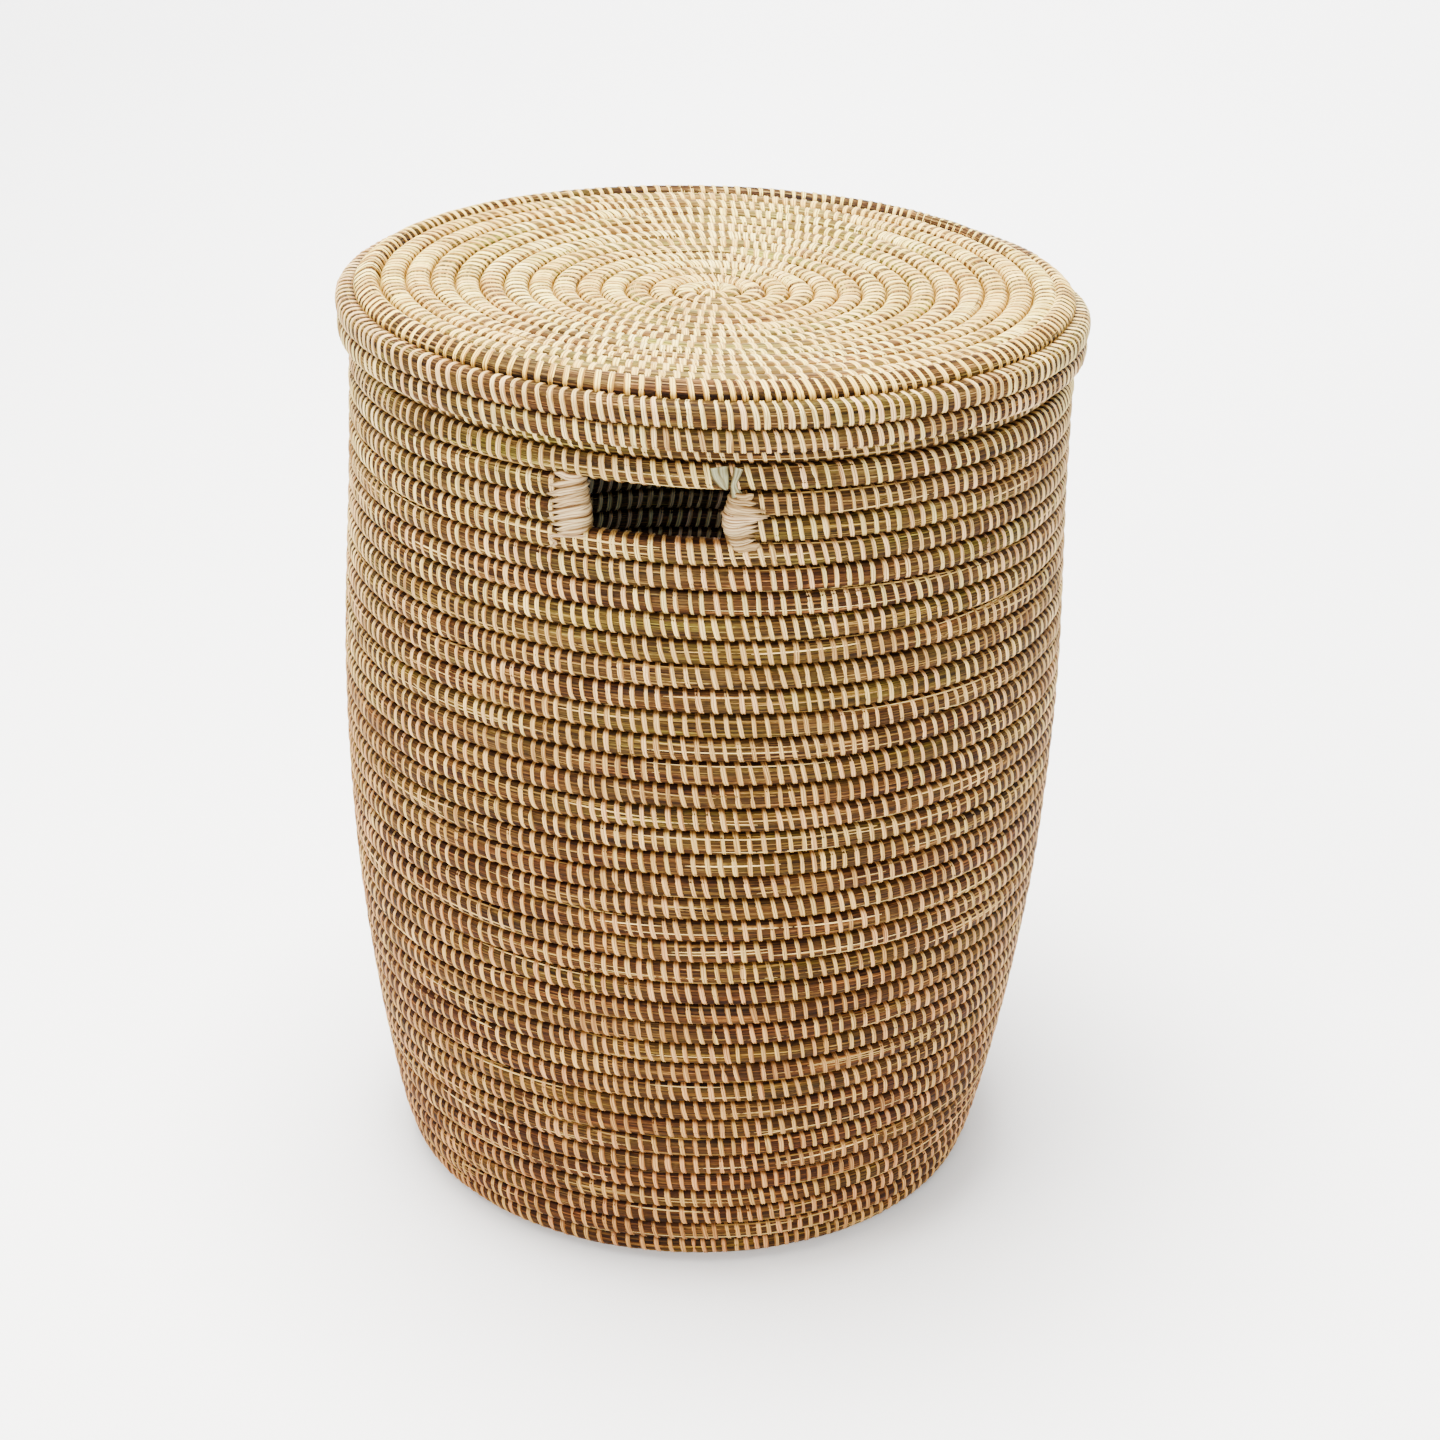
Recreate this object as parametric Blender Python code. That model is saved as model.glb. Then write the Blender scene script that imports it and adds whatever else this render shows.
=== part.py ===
"""Coiled grass laundry basket with a lift-off lid.

Bundles of grass are wrapped into a round coil, and each turn of the coil is sewn to the
turn before it. The basket is a flat base disc, a bulging wall of coil turns with two hand
holes just under its top turn, and a narrower neck of two turns that the lid drops over.
The lid is a slightly dished disc with a raised edge turn and a skirt of two turns.
Metres, +Z up, origin at the middle of the base on the ground, hand holes at -Y and +Y.
"""
import math

import bmesh
import bpy

# Driving dimensions, in metres and degrees.
COIL_PITCH = 0.01455          # from one turn to the next, along the wall
COIL_WIDTH = 0.0150           # radial thickness of a turn
COIL_FLAT = 0.0084            # flat width where a turn bears on its neighbour
GAP = 0.0003                  # left between pieces that touch
WALL_ROWS = 38
# Outer radius of the wall at a few heights: rounded foot, bulge above the middle, drawn-in top.
WALL_PROFILE = (
    (0.000, 0.1720),
    (0.005, 0.1797),
    (0.015, 0.1907),
    (0.028, 0.1948),
    (0.056, 0.2006),
    (0.098, 0.2080),
    (0.155, 0.2158),
    (0.213, 0.2216),
    (0.287, 0.2253),
    (0.343, 0.2259),
    (0.398, 0.2241),
    (0.461, 0.2211),
    (0.548, 0.2190),
)
HANDLE_ROWS = 2               # turns that stop at the hand holes, under the rail turn
HANDLE_HOLE_WIDTH = 0.076
BINDING_LENGTH = 0.021        # wrapped ends of the cut turns, beside each hole
BINDING_WIDTH = 0.0175
BINDING_CORNER = 0.0035
NECK_RADIUS = 0.2050          # centre line of the lower neck turn
MOUTH_RADIUS = 0.1990         # centre line of the turn that the lid rests on
LID_EDGE_RADIUS = 0.2070      # centre line of the lid's raised edge turn
LID_SKIRT_UPPER_RADIUS = 0.2186
LID_SKIRT_LOWER_RADIUS = 0.2183
LID_SKIRT_UPPER_DROP = 0.0082  # below the edge turn's centre line
LID_SKIRT_LOWER_DROP = 0.0228
LID_DISH_DEPTH = 0.0100
LID_DISH_RADIUS = 0.1850      # the disc is level outside this, where it rests on the mouth
LID_DISH_RINGS = 5
SEGMENTS = 24                 # sides of a full turn
SHARP_ANGLE = math.radians(50.0)

GRASS = ((0.47, 0.33, 0.19), 0.75)
STRIP = ((0.84, 0.80, 0.70), 0.40)


def wall_radius(height):
    """Outer radius at a height, on a smooth curve through WALL_PROFILE."""
    last = len(WALL_PROFILE) - 2
    i = 0
    while i < last and height > WALL_PROFILE[i + 1][0]:
        i += 1
    z0, r0 = WALL_PROFILE[i]
    z1, r1 = WALL_PROFILE[i + 1]
    span = z1 - z0
    t = (height - z0) / span
    rise0 = profile_slope(i) * span
    rise1 = profile_slope(i + 1) * span
    return (
        (2 * t**3 - 3 * t**2 + 1) * r0
        + (t**3 - 2 * t**2 + t) * rise0
        + (3 * t**2 - 2 * t**3) * r1
        + (t**3 - t**2) * rise1
    )


def profile_slope(i):
    """Slope of the wall at a profile point, from the points on both sides of it."""
    before = WALL_PROFILE[max(i - 1, 0)]
    after = WALL_PROFILE[min(i + 1, len(WALL_PROFILE) - 1)]
    return (after[1] - before[1]) / (after[0] - before[0])


def wall_levels():
    """Heights of the joints between turns, from the ground up, one pitch apart on the slope."""
    levels = [0.0]
    for _ in range(WALL_ROWS):
        bottom = levels[-1]
        slope = (wall_radius(bottom + COIL_PITCH) - wall_radius(bottom)) / COIL_PITCH
        levels.append(bottom + COIL_PITCH / math.hypot(1.0, slope))
    return levels


def make_material(name, finish):
    colour, roughness = finish
    material = bpy.data.materials.new(name)
    material.use_nodes = True
    shader = material.node_tree.nodes["Principled BSDF"]
    shader.inputs["Base Color"].default_value = (*colour, 1.0)
    shader.inputs["Roughness"].default_value = roughness
    shader.inputs["Metallic"].default_value = 0.0
    return material


def add_object(name, bm, finish, parent, height=0.0, turn=0.0):
    """Turn a bmesh into a smooth-shaded object, set down at a height and turned about Z."""
    bmesh.ops.recalc_face_normals(bm, faces=bm.faces)
    mesh = bpy.data.meshes.new(name)
    bm.to_mesh(mesh)
    bm.free()
    mesh.shade_smooth()
    mesh.set_sharp_from_angle(angle=SHARP_ANGLE)
    mesh.materials.append(make_material(name, finish))
    piece = bpy.data.objects.new(name, mesh)
    piece.location.z = height
    piece.rotation_euler.z = turn
    piece.parent = parent
    bpy.context.scene.collection.objects.link(piece)
    return piece


def spin_section(section, angle=math.tau):
    """Spin a closed outline of (radius, height) points about Z: a ring, or an arc with ends."""
    full = angle >= math.tau
    bm = bmesh.new()
    verts = [bm.verts.new((radius, 0.0, height)) for radius, height in section]
    edges = [bm.edges.new((verts[i - 1], verts[i])) for i in range(len(verts))]
    bmesh.ops.spin(
        bm,
        geom=verts + edges,
        cent=(0.0, 0.0, 0.0),
        axis=(0.0, 0.0, 1.0),
        angle=angle,
        steps=math.ceil(round(SEGMENTS * angle / math.tau, 6)),
        use_merge=full,
    )
    if not full:
        bmesh.ops.holes_fill(bm, edges=bm.edges, sides=len(section))
    return bm


def coil_section(radius, height):
    """Six-sided section of one turn about its centre line, flat above and below."""
    side = COIL_WIDTH / 2
    flat = COIL_FLAT / 2
    half = height / 2
    return (
        (radius + side, 0.0),
        (radius + flat, half),
        (radius - flat, half),
        (radius - side, 0.0),
        (radius - flat, -half),
        (radius + flat, -half),
    )


def add_coil(name, radius, bottom, top, parent, start=0.0, angle=math.tau):
    """One turn of coil that fills the height from bottom to top, less the gap."""
    bm = spin_section(coil_section(radius, top - bottom - GAP), angle)
    return add_object(name, bm, GRASS, parent, (bottom + top) / 2, start)


def add_disc(name, radius, bottom, parent, dish_depth, rings):
    """A coiled disc one turn thick; its middle sinks by dish_depth in a shallow bowl."""
    bm = bmesh.new()
    thickness = COIL_PITCH - GAP
    dish = [LID_DISH_RADIUS * i / rings for i in range(1, rings + 1)] if dish_depth else []
    levels = [(r, -dish_depth * (1 - (r / LID_DISH_RADIUS) ** 2)) for r in dish] + [(radius, 0.0)]
    outline = [(r, z) for r, z in levels] + [(r, z + thickness) for r, z in reversed(levels)]
    chain = [bm.verts.new((0.0, 0.0, -dish_depth))]
    chain += [bm.verts.new((r, 0.0, z)) for r, z in outline]
    chain.append(bm.verts.new((0.0, 0.0, thickness - dish_depth)))
    edges = [bm.edges.new(pair) for pair in zip(chain, chain[1:])]
    bmesh.ops.spin(
        bm,
        geom=chain + edges,
        cent=(0.0, 0.0, 0.0),
        axis=(0.0, 0.0, 1.0),
        angle=math.tau,
        steps=SEGMENTS,
        use_merge=True,
    )
    bmesh.ops.remove_doubles(bm, verts=bm.verts, dist=1e-6)
    return add_object(name, bm, GRASS, parent, bottom)


def add_binding(name, radius, bottom, top, parent, start, angle):
    """Strip wound over the ends of the cut turns: a stub with cut corners."""
    side = BINDING_WIDTH / 2
    half = (top - bottom - GAP) / 2
    corner = BINDING_CORNER
    section = (
        (radius + side, half - corner),
        (radius + side - corner, half),
        (radius - side + corner, half),
        (radius - side, half - corner),
        (radius - side, corner - half),
        (radius - side + corner, -half),
        (radius + side - corner, -half),
        (radius + side, corner - half),
    )
    bm = spin_section(section, angle)
    return add_object(name, bm, STRIP, parent, (bottom + top) / 2, start)


def row_radius(bottom, top):
    """Centre-line radius of the wall turn between two heights."""
    return wall_radius((bottom + top) / 2) - COIL_WIDTH / 2


def build_wall(levels, basket):
    """Full turns below the hand holes, and the rail turn that bridges over them."""
    full_rows = WALL_ROWS - HANDLE_ROWS - 1
    for i in range(full_rows):
        bottom, top = levels[i], levels[i + 1]
        add_coil(f"wall_coil_{i + 1:02d}", row_radius(bottom, top), bottom, top, basket)
    bottom, top = levels[-2], levels[-1]
    add_coil("handle_rail_coil", row_radius(bottom, top), bottom, top, basket)


def build_handles(levels, basket):
    """Turns that stop at both hand holes, with their ends wrapped in strip."""
    first = WALL_ROWS - HANDLE_ROWS - 1
    hole_bottom, hole_top = levels[first], levels[first + HANDLE_ROWS]
    radius = row_radius(hole_bottom, hole_top)
    half_hole = HANDLE_HOLE_WIDTH / 2 / radius
    binding = BINDING_LENGTH / radius
    joint = GAP / radius
    half_cut = half_hole + binding + joint
    quarter = math.pi / 2
    for side, middle in (("right", 0.0), ("left", math.pi)):
        start = middle - quarter + half_cut
        for row, word in enumerate(("lower", "upper")):
            bottom, top = levels[first + row], levels[first + row + 1]
            name = f"handle_level_coil_{word}_{side}"
            arc = math.pi - 2 * half_cut
            add_coil(name, row_radius(bottom, top), bottom, top, basket, start, arc)
    for face, middle, sides in (
        ("front", -quarter, ("left", "right")),
        ("back", quarter, ("right", "left")),
    ):
        starts = (middle - half_hole - binding, middle + half_hole)
        for side, start in zip(sides, starts):
            name = f"handle_binding_{face}_{side}"
            add_binding(name, radius, hole_bottom, hole_top, basket, start, binding)


def build_neck(wall_top, basket):
    """Two narrower turns inside the lid's skirt; returns the height of the mouth."""
    middle = wall_top + COIL_PITCH
    mouth = middle + COIL_PITCH
    add_coil("neck_coil", NECK_RADIUS, wall_top, middle, basket)
    add_coil("mouth_coil", MOUTH_RADIUS, middle, mouth, basket)
    return mouth


def build_base(levels, basket):
    inside = row_radius(levels[0], levels[1]) - COIL_WIDTH / 2
    add_disc("base_disc", inside - GAP, 0.0, basket, dish_depth=0.0, rings=0)


def build_lid(mouth, lid):
    """Lid body: its origin is the mouth's centre, and it lifts straight up."""
    half = COIL_PITCH / 2
    disc_radius = LID_EDGE_RADIUS - COIL_WIDTH / 2 - GAP
    add_disc("lid_disc", disc_radius, GAP / 2, lid, LID_DISH_DEPTH, LID_DISH_RINGS)
    edge = half + GAP / 2
    turns = (
        ("lid_edge_coil", LID_EDGE_RADIUS, edge),
        ("lid_skirt_coil_upper", LID_SKIRT_UPPER_RADIUS, edge - LID_SKIRT_UPPER_DROP),
        ("lid_skirt_coil_lower", LID_SKIRT_LOWER_RADIUS, edge - LID_SKIRT_LOWER_DROP),
    )
    for name, radius, height in turns:
        add_coil(name, radius, height - half, height + half, lid)


def add_body(name, height):
    """Empty that carries one moving body."""
    empty = bpy.data.objects.new(name, None)
    empty.location.z = height
    bpy.context.scene.collection.objects.link(empty)
    return empty


def main():
    for old in list(bpy.data.objects):
        bpy.data.objects.remove(old, do_unlink=True)
    levels = wall_levels()
    basket = add_body("basket", 0.0)
    build_base(levels, basket)
    build_wall(levels, basket)
    build_handles(levels, basket)
    mouth = build_neck(levels[-1], basket)
    lid = add_body("lid", mouth)
    build_lid(mouth, lid)


main()
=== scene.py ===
"""Looks of the coiled grass laundry basket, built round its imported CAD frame.

Every turn of coil becomes a bundle of grass with loose strands on it, sewn by its own row of
pale strips. The base and the lid's disc are true spirals, and the wall's turns climb into one
another on one side, as a coiled basket's do. Strips wound over the cut ends of two turns make
the hand holes' sides.
"""
import math

import bpy
import numpy as np
from mathutils import Matrix, Vector


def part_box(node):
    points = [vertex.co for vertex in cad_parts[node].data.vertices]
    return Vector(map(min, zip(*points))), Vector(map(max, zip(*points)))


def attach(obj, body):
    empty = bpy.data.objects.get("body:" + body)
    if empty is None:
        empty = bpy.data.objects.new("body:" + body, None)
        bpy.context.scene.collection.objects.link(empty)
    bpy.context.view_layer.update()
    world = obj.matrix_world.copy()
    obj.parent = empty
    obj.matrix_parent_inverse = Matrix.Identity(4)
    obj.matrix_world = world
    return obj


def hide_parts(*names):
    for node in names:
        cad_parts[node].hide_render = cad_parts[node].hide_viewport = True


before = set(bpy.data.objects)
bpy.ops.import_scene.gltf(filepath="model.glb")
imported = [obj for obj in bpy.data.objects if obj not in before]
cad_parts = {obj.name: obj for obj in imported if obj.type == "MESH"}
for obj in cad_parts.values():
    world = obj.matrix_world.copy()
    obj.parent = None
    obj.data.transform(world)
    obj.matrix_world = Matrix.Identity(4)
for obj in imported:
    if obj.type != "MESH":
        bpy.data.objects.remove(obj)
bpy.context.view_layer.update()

# The camera, in metres and degrees.
CAMERA_DISTANCE = 1.6112       # from the basket's axis, along the ground
CAMERA_HEIGHT = 1.0484
CAMERA_AZIMUTH = 7.9           # the front hand hole faces -Y and the camera stands to its right
CAMERA_SIDE = -0.0060          # sideways, across the line of sight
CAMERA_PITCH = 25.20
CAMERA_YAW = -0.669
CAMERA_ROLL = 2.03
CAMERA_LENS = 68.9

# Coil, in metres. Angles in its section are measured from the direction of the next turn.
PITCH = 0.01455
COIL_WIDTH = 0.0150
GRASS_RADIUS = 0.00715         # bundle between stitches
STITCH_RADIUS = 0.00690        # bundle where a stitch pulls it in
SQUARENESS = 3.0               # turns press each other flat: exponent of a superellipse
BUNDLE_SIDES = 20
STEPS_PER_STITCH = 4
LUMP_LENGTH = 0.022            # length over which a strand's height wanders
LUMP_HEIGHT = 0.00015
TURN_SHIFT = 3.7               # along the grass's pattern from each turn to the next
LID_SHIFT = 500                # from the basket's pattern to the lid's
FIRST_SIZE = 0.45              # share of full thickness where a spiral starts
FIRST_GROWTH = 0.5             # part of a turn over which it grows from there
END_SIZE = 0.25                # share of full thickness of a coil's last end
END_TAPER = 0.10               # part of a turn over which that end thins away
BASE_LIFT = 0.0012             # keeps the base's stitches off the floor

# Loose strands of grass that lie on the bundle.
STRAND_SPACING = 0.036         # of coil length for each strand
STRAND_LENGTHS = (0.025, 0.15)
STRAND_SHARES = (0.4, 1)       # of that length
STRAND_WIDTHS = (0.00022, 0.00050)
STRAND_FLATNESS = 0.55         # height for each width
STRAND_LIFT = 0.00021          # above the bundle
STRAND_SPREAD = 0.75           # of their angles round the coil, in radians
STRAND_WANDER = 0.22           # change of angle from end to end
STRAND_STEP = 0.004
STRAND_SIDES = 4
STRAND_SHIFT = 40              # range of their starts in the grass's pattern
LOOSE_TINT = 2.0               # tints from here up mark a loose strand

# Rows of stitches. Gaps are shares of the wanted pitch.
STITCH_PITCH = 0.00655
FEWEST_STITCHES = 9            # in a spiral's first turn
WIDE_GAP = 1.40                # takes one more stitch
WIDE_GAP_SPREAD = 0.05
CROWDED_GAP = 0.66             # loses a stitch
EASING_ROUNDS = 4
EASING = 0.42                  # share of the way to the middle of its neighbours in each round
STITCH_SPREAD = 0.045

# Sewing strips, in metres.
STRIP_WIDTH = 0.0031
LID_STRIP_WIDTH = 0.0040
SKIRT_STRIP_WIDTH = STRIP_WIDTH * 1.1
WIDTH_SPREAD = 0.11
WIDTH_LIMITS = (0.70, 1.28)    # shares of the width
LEAST_REACH = 0.004            # from the axis, where a spiral starts and strips would fold over
STRIP_LEAN = 0.0028            # sideways travel of a strip across the coil's face
LEAN_SPREAD = 0.16
LEAN_DRIFT = 0.17              # slow change of the lean along a turn
LEAN_WAVES = (3, 7)            # of that change, in a turn
STRIP_HOOK = 0.0011            # extra travel where it goes down between the turns
HOOK_NARROWING = 0.20
STRIP_POINTS = 18              # round the coil
STRIP_ACROSS = (-1.0, -0.55, 0.0, 0.55, 1.0)
STRIP_HEIGHTS = (0.00012, 0.00072, 0.00036, 0.00066, 0.00012)
HEIGHT_SPREAD = 0.00008
TWISTED_SHARE = 0.035          # strips with a twist in them
TWIST_NARROWING = 0.65
TWIST_SPREAD = 0.9             # of the twists' angles, either way from the coil's face
TWIST_EXTENT = 0.08            # in square radians
STITCHES_PER_STRIP = 14        # before a new strip, of another tone, takes over
STRIP_TONES = 0.62             # range of the strips' tones
STITCH_TONES = 0.26            # range of the tones of one strip's stitches

# Strips wound over the hand holes' sides.
HOLE_INSET = 0.0018            # from the CAD binding's face back to the hole's edge
CUT_BACK = 0.006               # from the hole's edge to the cut turns' ends
WRAP_FACE = 0.0078             # from the coil's centre line
WRAP_FACE_SPREAD = 0.0002
WRAP_TURN = 0.0062             # radius round the hole's edge
WRAP_POINTS = (12, 9, 7)       # along the front, the turn and the inside
WRAP_INSIDE = (0.014, 0.018)   # how far the ends reach along the inside
WRAP_DRIFT = 0.0015            # how far they drift up or down there
WAVE_HEIGHT = 0.0003           # of a slight wave along each strip
WAVE_SPANS = (4, 9)            # in radians of that wave
BACK_SPREAD = 0.0008           # sets the back's strips apart from the front's
WRAP_PUFF = 0.0014             # height of a strip's crumpled middle
WRAP_TONES = (0.0, 0.7)
TIP_SUNK = 0.0014              # how far a tip goes into the grass
POINTED_TIP = (0.10, 0.24, 0.37, 0.50, 0.63, 0.76, 0.9, 1)
BLUNT_TIP = (0.7, 0.85, 0.95, 1, 1, 1, 1, 1)
INNER_TIP = (0.9, 0.7, 0.4)
INNER_RISE = (0.0006, 0.0016, 0.0028)
LEAST_FACE = 0.6               # share of the grass's radius at which a strip bridges a groove
FLAT_PUFF = 0.0004
FLAT_STEP = 0.0012
FOLD_HEIGHT = 0.00030
RIBBON_POINTS = 9

BASKET_HAND = 1                # the basket's coil climbs to the left, seen from its front
LID_HAND = -1                  # the lid is worked the other way up
SEAM = 120 / 360               # where one turn passes into the next, in turns from the front
STEP = 40 / 360                # half the length over which it climbs
TILT_TURNS = (6, 2)            # over which the turns start to tilt, and are level again

# The neck's turn shows as a slim line under the skirt, whose turns sit a little high.
NECK_OUT = 0.0030
NECK_DOWN = 0.0020
NECK_SLIM = 0.86               # share of full thickness
SKIRT_RAISED = {"upper": 0.0008, "lower": 0.0020}
SKIRT_SLIM = 0.96              # of the lower turn

DISH_DEPTH = 0.010             # of the lid's disc
DISH_RADIUS = 0.185
INNER_TURNS = 10               # of the disc, in pieces of their own

# Materials. Scales are along the fibre and in its section's two directions, or, on a strip,
# round the coil, across the strip and from strip to strip.
FOOT_SHADE_HEIGHT = 0.55           # where the painted shade of the foot has faded out
STRAND_SCALE = (16, 1000, 1000)
PATCH_SCALE = (24, 210, 210)
ROW_SCALE = (5, 30, 30)
FOLD_SCALE = (16, 4.2, 90)
CREASE_SCALE = (45, 0, 60)
CREASE_REACH = 0.45            # how far the crease wanders from a strip's middle
BUMP_STRENGTH = 0.6
BUMP_DISTANCE = 0.0006

# Studio, in metres and watts. A light has its place, aim, size, power and colour.
FLOOR_RADIUS = 3.5
FLOOR_MIDDLE = 1.0             # radius of the floor's middle face
CURVE_RADIUS = 1.5             # where the floor turns up into the wall
WALL_HEIGHT = 5.0
STUDIO_SIDES = 96
STUDIO_WHITE = (0.90, 0.90, 0.90, 1.0)
WORLD_COLOUR = (1.0, 0.88, 0.74, 1.0)
WORLD_STRENGTH = 0.15
LIGHTS = {
    "key": ((-1.0, -1.5, 2.9), (0, 0, 0.4), 1.6, 100, (1.0, 0.97, 0.92)),
    "top": ((-0.25, 0.0, 3.0), (0, 0, 0.5), 1.5, 450, (1.0, 0.98, 0.95)),
    "front": ((-0.4, -2.9, 1.3), (0, 0, 0.3), 1.2, 105, (1.0, 1.0, 1.0)),
    "backdrop": ((0, 2.4, 3.2), (0, 4.8, 1.0), 2.0, 480, (1.0, 1.0, 1.0)),
    "inside": ((0, -0.10, 0.40), (0, 0.2, 0.38), 0.16, 0.200, (0.60, 0.88, 1.60)),
}


def smooth(x):
    x = np.clip(x, 0.0, 1.0)
    return x * x * (3 - 2 * x)


def climb(u):
    """Share of a pitch that a turn is above its level: -1/2 at its start, +1/2 at its end."""
    start = np.clip((SEAM - 1 + STEP - u) / STEP, 0, 1)
    end = np.clip((u - SEAM + STEP) / STEP, 0, 1)
    return (0.5 * end + 0.5 * smooth(end) - 0.5 * start - 0.5 * smooth(start)) / 2


def squared(angle):
    """Radius of the coil's section at an angle from the direction of the next turn."""
    power = np.abs(np.cos(angle)) ** SQUARENESS + np.abs(np.sin(angle)) ** SQUARENESS
    return power ** (-1 / SQUARENESS)


def place(azimuth, radius, height):
    """A point from its azimuth, which is 0 at the front and grows to the left."""
    return np.stack([-radius * np.sin(azimuth), -radius * np.cos(azimuth), height], -1)


def first_growth(u, u_from):
    """Share of full thickness along a spiral's first turn."""
    return FIRST_SIZE + (1 - FIRST_SIZE) * smooth((u - u_from) / FIRST_GROWTH)


class Coil:
    """One long coil, given as the radius and height of each turn in the order it is worked.

    hand is 1 where it runs to the left and -1 to the right. Its first flat_turns are a spiral.
    tilt and strip_width give, for turn k, how much of the climb tilts the whole turn and the
    width of its strips. slim has the share of full thickness of turns that aren't full.
    """

    def __init__(self, turns, hand, flat_turns, tilt, strip_width, slim):
        self.r = np.array([turn[0] for turn in turns])
        self.z = np.array([turn[1] for turn in turns])
        self.hand = hand
        self.flat_turns = flat_turns
        self.tilt = tilt
        self.strip_width = strip_width
        self.slim = slim
        self.index = np.arange(len(turns))
        self.stitches = self.grow_stitches()

    def at(self, k, u):
        """Azimuth, radius and height of turn k at u turns from the front."""
        if k < self.flat_turns:
            position = k + u - (SEAM - 0.5)
        else:
            position = k + climb(u) + self.tilt(k) * np.sin(math.tau * u) / math.tau
        first = self.r[0] + (self.r[1] - self.r[0]) * np.minimum(position, 0)
        r = np.where(position < 0, first, np.interp(position, self.index, self.r))
        return self.hand * math.tau * u, r, np.interp(position, self.index, self.z)

    def thinning(self, k, u, u_to, thins):
        """Share of full thickness near a coil's last end, and how far its middle shifts so that
        it stays against the turn before."""
        if not thins:
            return np.ones_like(u), np.zeros_like(u)
        share = 1 - (1 - END_SIZE) * smooth((u - u_to + END_TAPER) / END_TAPER)
        back = -math.copysign(1, math.sin(self.towards_next(k)))
        return share, back * (1 - share) * GRASS_RADIUS

    def towards_next(self, k):
        """Angle, from outward to upward, of the direction from turn k to the next one."""
        a = min(k, len(self.r) - 2)
        return math.atan2(self.z[a + 1] - self.z[a], self.r[a + 1] - self.r[a])

    def depth(self, k, turned):
        """How deep in the grooves beside turn k its surface is, at angles from the direction of
        the next turn: 1 where it meets another turn."""
        last = len(self.r) - 1
        depth = np.cos(turned) if k < last else np.zeros_like(turned)
        if k > 0:
            back = math.atan2(self.z[k - 1] - self.z[k], self.r[k - 1] - self.r[k])
            depth = np.maximum(depth, np.cos(turned + self.towards_next(k) - back))
        return depth

    def grow_stitches(self):
        """Stitch places of each turn, in turns. They sit over the last turn's stitches."""
        rng = np.random.default_rng(7 if self.hand > 0 else 11)
        rows = []
        for r in self.r:
            wanted = STITCH_PITCH / (math.tau * r)
            if rows:
                rows.append(self.next_row(rows[-1], wanted, rng))
            else:
                count = max(FEWEST_STITCHES, round(1 / wanted))
                rows.append(np.arange(count) / count)
        return [np.sort((u - SEAM) % 1.0) + SEAM - 1 for u in rows]

    @staticmethod
    def next_row(u, wanted, rng):
        """A row of stitches over a row: one is added or left out where the gap needs it, and
        those beside it make room."""
        gap = np.diff(np.append(u, u[0] + 1))
        extra = (u + gap / 2)[gap > wanted * rng.normal(WIDE_GAP, WIDE_GAP_SPREAD, len(u))]
        crowded = np.flatnonzero(gap < wanted * CROWDED_GAP)
        dropped = crowded[np.diff(np.append(-2, crowded)) > 1]
        u = np.sort(np.concatenate([np.delete(u, dropped), extra]))
        for _ in range(EASING_ROUNDS):
            before = np.append(u[-1] - 1, u[:-1])
            after = np.append(u[1:], u[0] + 1)
            u = u + EASING * ((before + after) / 2 - u)
        return np.sort(u + rng.normal(0, STITCH_SPREAD, len(u)) * min(wanted, 1 / len(u)))


def grid_faces(rows, columns, close_rows=False, close_columns=True):
    """Quads of a grid of vertices, row by row."""
    i = np.arange(rows if close_rows else rows - 1)[:, None]
    j = np.arange(columns if close_columns else columns - 1)[None, :]
    i2 = (i + 1) % rows
    j2 = (j + 1) % columns
    quads = np.stack([i * columns + j, i * columns + j2, i2 * columns + j2, i2 * columns + j], -1)
    return quads.reshape(-1, 4)


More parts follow.
